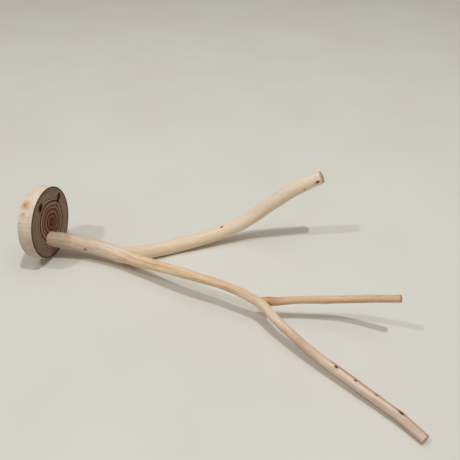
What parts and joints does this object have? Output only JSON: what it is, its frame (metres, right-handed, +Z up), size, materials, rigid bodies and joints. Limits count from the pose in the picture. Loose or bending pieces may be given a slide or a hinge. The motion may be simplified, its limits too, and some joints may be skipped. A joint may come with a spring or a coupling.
{
  "type": "peeled forked branch on a wood-slice base",
  "caption": "Peeled forked branch butted on a round wood-slice base, lying on its side on the slice's rim, the thick limb and the long twig.",
  "frame": {"origin": "middle of the footprint of the lying stand, on the surface it lies on", "axes": "+X from the wood slice towards the twigs' tips, square to the slice's faces; +Y towards the side of the thick limb; +Z up from the surface"},
  "size_m": [0.4008, 0.2582, 0.0882],
  "materials": {
    "slice_wood": "sanded softwood, end grain with dark growth rings on the faces, pale sapwood on the rim",
    "peeled_wood": "bark peeled off, smooth and unvarnished, with small dark bud scars",
    "screw_steel": "zinc plated"
  },
  "bodies": {
    "root": {"base_slice": "slice_wood", "trunk": "peeled_wood", "thick_limb": "peeled_wood", "slender_limb": "peeled_wood", "short_twig": "peeled_wood", "long_twig": "peeled_wood", "fixing_screw": "screw_steel"}
  },
  "joints": []
}
